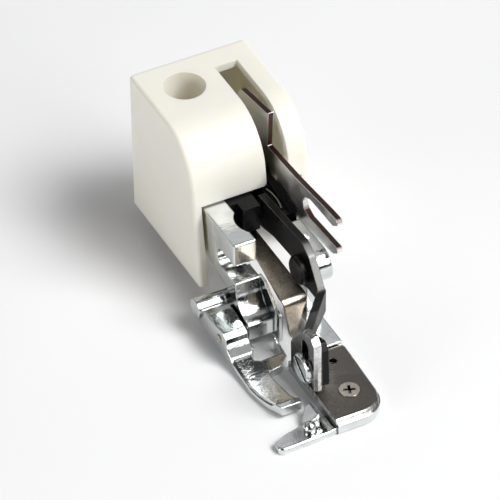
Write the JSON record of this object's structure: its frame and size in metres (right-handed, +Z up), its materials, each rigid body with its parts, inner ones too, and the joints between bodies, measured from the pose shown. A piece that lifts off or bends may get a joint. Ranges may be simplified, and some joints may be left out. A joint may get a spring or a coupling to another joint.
{
  "type": "sewing machine presser foot",
  "caption": "Low-shank side-cutting presser foot: moulded housing, chrome shank and tilting sole, fork lever that rocks a black knife lever against a fixed knife plate",
  "frame": {"origin": "centre of the round end of the shank's screw slot, in the middle of the wall there, where the presser bar screw sits", "axes": "X to the operator's right, Y to the back of the machine, Z up; the sole rests 12.7 mm below the origin"},
  "size_m": [0.0276, 0.0667, 0.0317],
  "materials": {
    "ivory_plastic": "satin moulded ivory plastic",
    "chrome": "bright chrome plate over a die casting or stamping",
    "black_oxide": "satin black oxide on steel",
    "nickel_screw": "turned nickel-plated steel",
    "satin_nickel": "satin nickel-plated strip steel",
    "knife_steel": "dark ground tool steel with a bright edge",
    "blade_steel": "ground tool steel",
    "spring_steel": "drawn spring wire"
  },
  "bodies": {
    "frame": {"housing": "ivory_plastic", "housing_screw": "nickel_screw", "shank": "chrome", "chassis": "black_oxide", "cutter_frame": "chrome", "frame_rivets": "black_oxide", "guide_post": "chrome", "lower_knife": "knife_steel", "lower_knife_screw": "nickel_screw", "guard_bracket": "satin_nickel", "guard_screws": "nickel_screw", "fork_pin": "nickel_screw", "fork_spacer": "nickel_screw", "return_spring": "spring_steel"},
    "sole": {"sole": "chrome", "sole_pin": "nickel_screw"},
    "fork": {"fork_lever": "chrome"},
    "cutter": {"cutter_lever": "black_oxide", "cutter_rivet": "black_oxide", "drive_pin": "nickel_screw", "upper_knife": "blade_steel", "upper_knife_screw": "chrome"}
  },
  "joints": [
    {"name": "sole_tilt", "type": "hinge", "parent": "frame", "child": "sole", "pos_m": [0, -0.0085, -0.00895], "axis": [-1, 0, 0], "range_deg": [-3, 5]},
    {"name": "fork_swing", "type": "hinge", "parent": "frame", "child": "fork", "pos_m": [0.0132, 0.0084, 0.0048], "axis": [-1, 0, 0], "range_deg": [-26, 16], "stiffness_Nm_per_rad": 0.02},
    {"name": "cutter_rock", "type": "hinge", "parent": "frame", "child": "cutter", "pos_m": [0.0085, -0.0106, 0.0024], "axis": [-1, 0, 0], "range_deg": [-9.6, 5.9]}
  ],
  "couplings": [
    {"joint": "cutter_rock", "follows": "fork_swing", "ratio": 0.3667}
  ]
}
